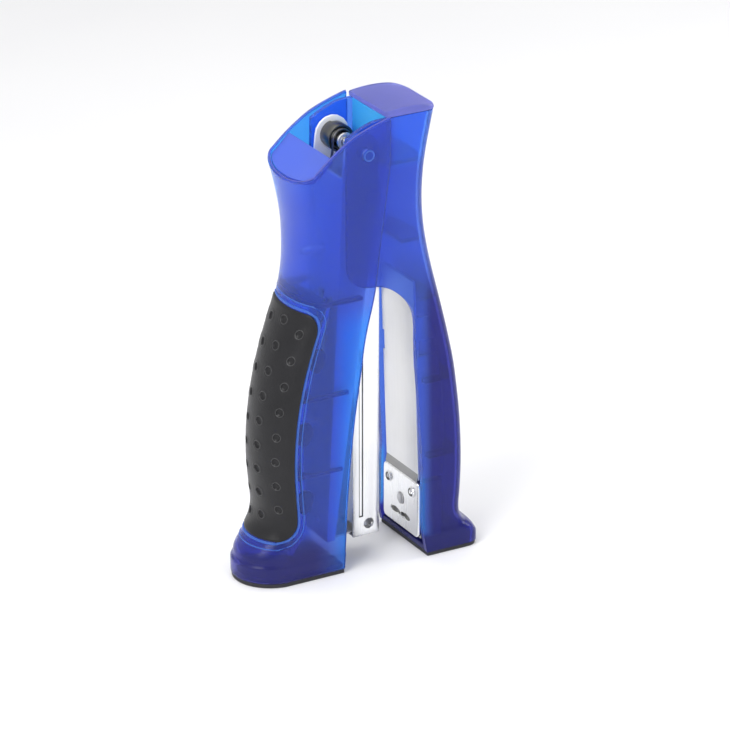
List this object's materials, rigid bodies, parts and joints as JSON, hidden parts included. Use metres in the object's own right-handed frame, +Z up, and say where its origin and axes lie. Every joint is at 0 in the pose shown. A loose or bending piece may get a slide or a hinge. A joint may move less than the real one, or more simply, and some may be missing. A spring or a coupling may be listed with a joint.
{
  "type": "stand-up stapler",
  "caption": "Stand-up stapler with two hinged translucent shells, a dimpled rubber grip, a steel staple magazine and an anvil in the base half.",
  "frame": {"origin": "middle of the footprint, on the surface that the two feet stand on", "axes": "+Z up, +X from the handle half to the base half, +Y across the width, to the left when looking along +X; the part is mirrored about Y = 0"},
  "size_m": [0.0984, 0.0364, 0.1827],
  "materials": {
    "blue_shell": "translucent tinted, softly frosted",
    "grip_rubber": "satin moulded rubber with round dimples",
    "pad_rubber": "matt",
    "bright_steel": "bright plated",
    "satin_steel": "satin",
    "grey_steel": "ground",
    "spring_steel": "drawn wire and strip, dark",
    "drum_steel": "turned, blackened",
    "staple_wire": "galvanised wire, glued in a stick",
    "black_plastic": "matt"
  },
  "bodies": {
    "base": {"base_shell": "blue_shell", "head_cap": "blue_shell", "base_plate": "satin_steel", "anvil_plate": "bright_steel", "anvil_rivet": "grey_steel", "anvil_support": "grey_steel", "base_foot_pad": "pad_rubber", "hinge_pin": "bright_steel"},
    "handle": {"handle_shell": "blue_shell", "grip": "grip_rubber", "handle_foot_pad": "pad_rubber", "pin_button_front": "blue_shell", "pin_button_back": "blue_shell", "driver_frame": "bright_steel", "driver_blade": "grey_steel", "blade_rivet_front": "bright_steel", "blade_rivet_back": "bright_steel", "frame_screw_lower": "bright_steel", "frame_screw_upper": "bright_steel", "torsion_spring": "spring_steel", "spring_drum": "drum_steel", "pin_collar": "bright_steel", "magazine_pin": "bright_steel", "magazine_spring": "spring_steel"},
    "magazine": {"magazine_channel": "bright_steel", "staple_rail": "satin_steel", "nose_plate": "grey_steel", "staple_strip": "staple_wire", "guide_rod": "bright_steel", "rod_bracket": "grey_steel", "pusher_spring": "spring_steel"},
    "follower": {"follower": "black_plastic"}
  },
  "joints": [
    {"name": "handle_hinge", "type": "hinge", "parent": "base", "child": "handle", "pos_m": [-0.0009, 0, 0.1679], "axis": [0, -1, 0], "range_deg": [0, 8.5], "stiffness_Nm_per_rad": 0.35, "springref_deg": -34.38, "deforming": ["torsion_spring"]},
    {"name": "magazine_hinge", "type": "hinge", "parent": "handle", "child": "magazine", "pos_m": [0.0024, 0, 0.149], "axis": [0, -1, 0], "range_deg": [-4.11, 0], "deforming": ["magazine_spring"]},
    {"name": "follower_slide", "type": "slide", "parent": "magazine", "child": "follower", "axis": [0, 0, 1], "range_m": [0, 0.055], "stiffness_N_per_m": 30, "springref_m": -0.05, "deforming": ["pusher_spring"]}
  ],
  "couplings": [
    {"joint": "magazine_hinge", "follows": "handle_hinge", "ratio": -0.4835}
  ]
}
